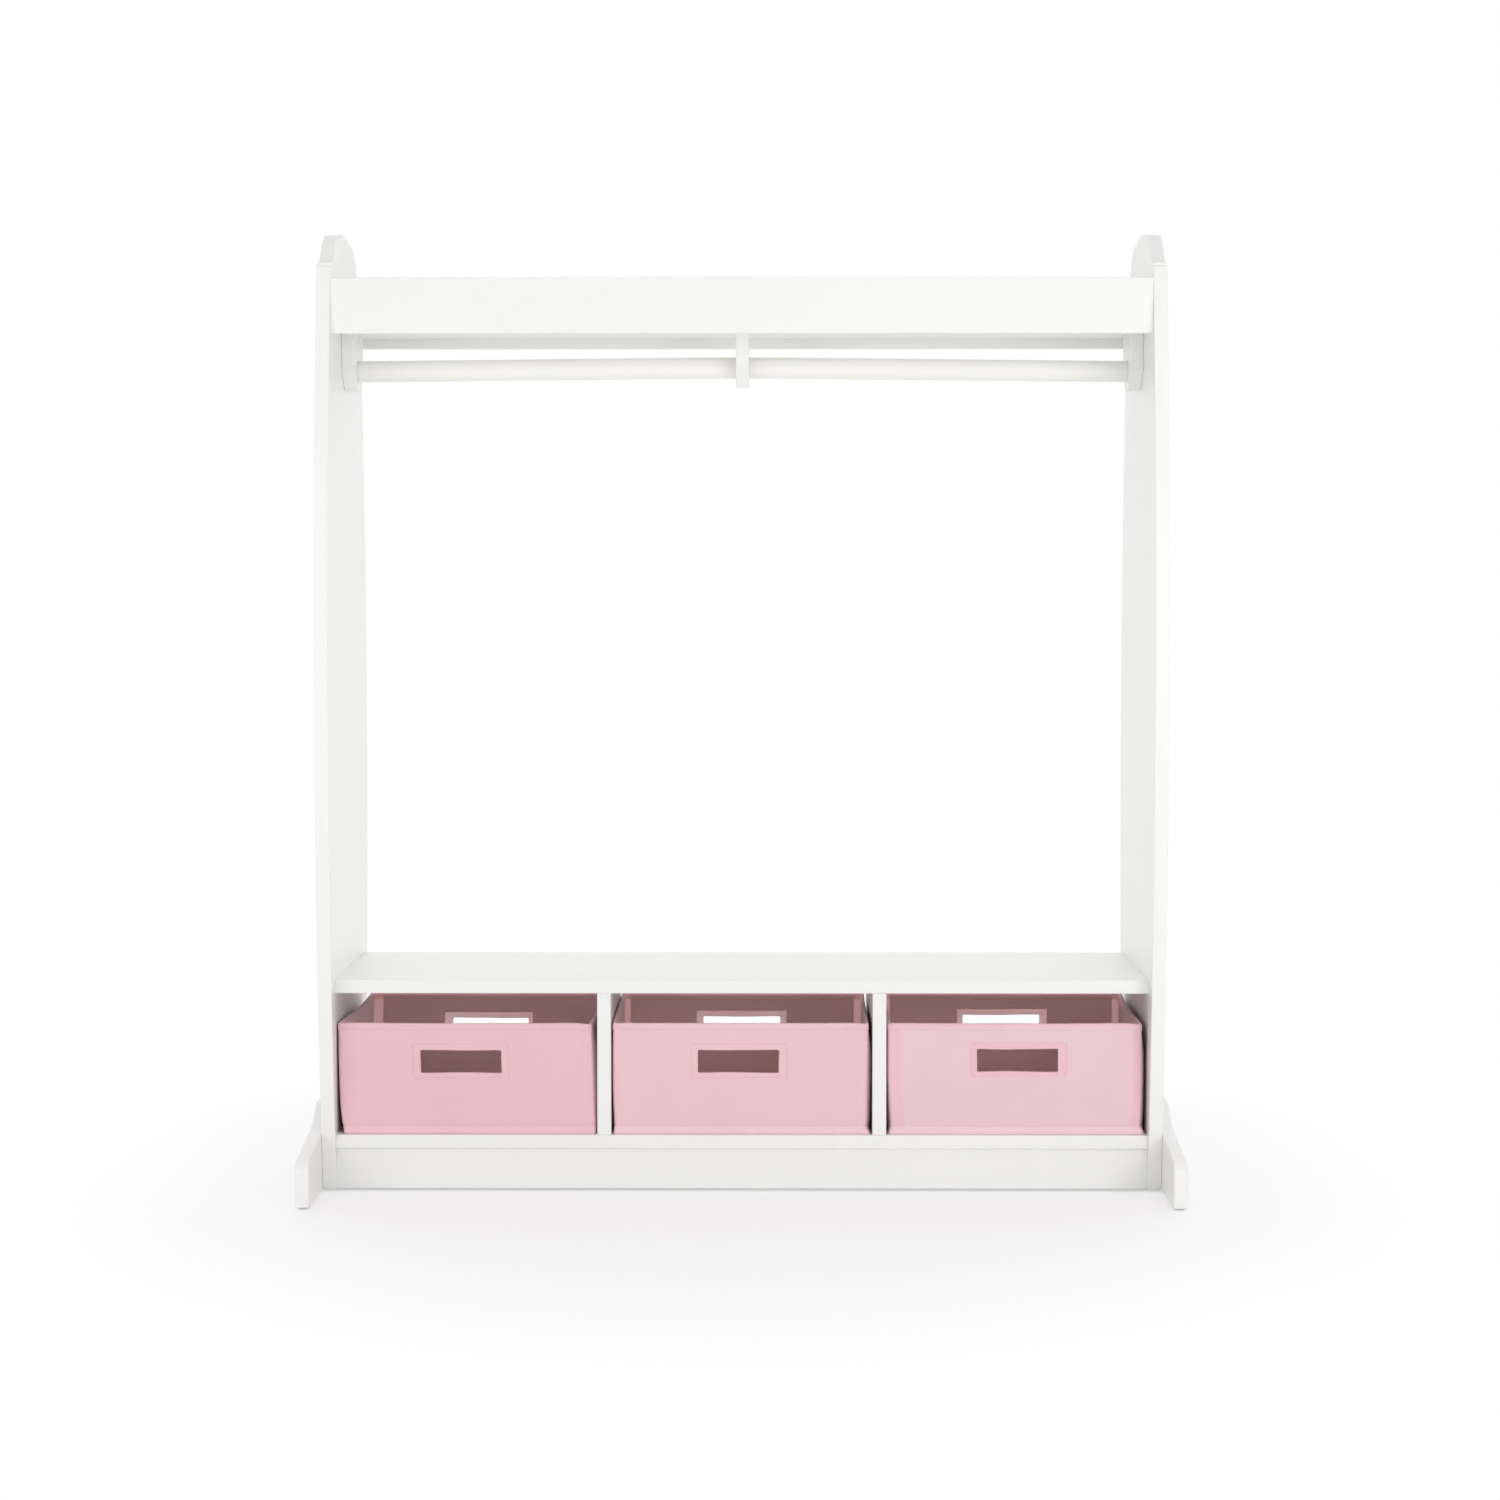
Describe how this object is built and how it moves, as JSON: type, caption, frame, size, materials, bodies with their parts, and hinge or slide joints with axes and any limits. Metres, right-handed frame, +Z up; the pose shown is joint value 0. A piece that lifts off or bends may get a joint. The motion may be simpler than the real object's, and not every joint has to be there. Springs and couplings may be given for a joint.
{
  "type": "dress up storage unit with mirror",
  "caption": "Free-standing dress-up rack for children: arched end panels, hanging rod under a railed top shelf, bench with pull-out cloth bins, and a tall mirror on one end panel.",
  "frame": {"origin": "on the floor, midway between the end panels and at mid-depth", "axes": "+Z up, +X to the right as seen from the front, front towards -Y"},
  "size_m": [1.127, 0.559, 1.25],
  "materials": {
    "white_paint": "satin white paint on board",
    "pink_cloth": "plain woven canvas, pink",
    "greyboard": "plain grey board",
    "mirror": "silvered sheet with polished edges",
    "steel": "zinc plated",
    "zinc": "die cast, dull",
    "beech": "bare beech, fluted dowel",
    "nylon": "moulded, matt"
  },
  "bodies": {
    "frame": {"left_end_panel": "white_paint", "right_end_panel": "white_paint", "left_foot": "white_paint", "right_foot": "white_paint", "glides": "nylon", "bench_top": "white_paint", "bottom_shelf": "white_paint", "left_divider": "white_paint", "right_divider": "white_paint", "front_plinth": "white_paint", "back_plinth": "white_paint", "front_header": "white_paint", "back_header": "white_paint", "top_shelf": "white_paint", "left_rod_bracket": "white_paint", "centre_rod_bracket": "white_paint", "right_rod_bracket": "white_paint", "hanging_rod": "white_paint", "mirror_sheet": "mirror", "mirror_screws": "steel", "cam_pins": "steel", "cam_locks": "zinc", "dowels": "beech", "bracket_screws": "steel", "foot_screws": "steel"},
    "left_bin": {"left_bin_cover": "pink_cloth", "left_bin_stiffeners": "greyboard", "left_bin_base": "greyboard"},
    "middle_bin": {"middle_bin_cover": "pink_cloth", "middle_bin_stiffeners": "greyboard", "middle_bin_base": "greyboard"},
    "right_bin": {"right_bin_cover": "pink_cloth", "right_bin_stiffeners": "greyboard", "right_bin_base": "greyboard"}
  },
  "joints": [
    {"name": "left_bin_slide", "type": "slide", "parent": "frame", "child": "left_bin", "axis": [0, -1, 0], "range_m": [0, 0.32]},
    {"name": "middle_bin_slide", "type": "slide", "parent": "frame", "child": "middle_bin", "axis": [0, -1, 0], "range_m": [0, 0.32]},
    {"name": "right_bin_slide", "type": "slide", "parent": "frame", "child": "right_bin", "axis": [0, -1, 0], "range_m": [0, 0.32]}
  ]
}
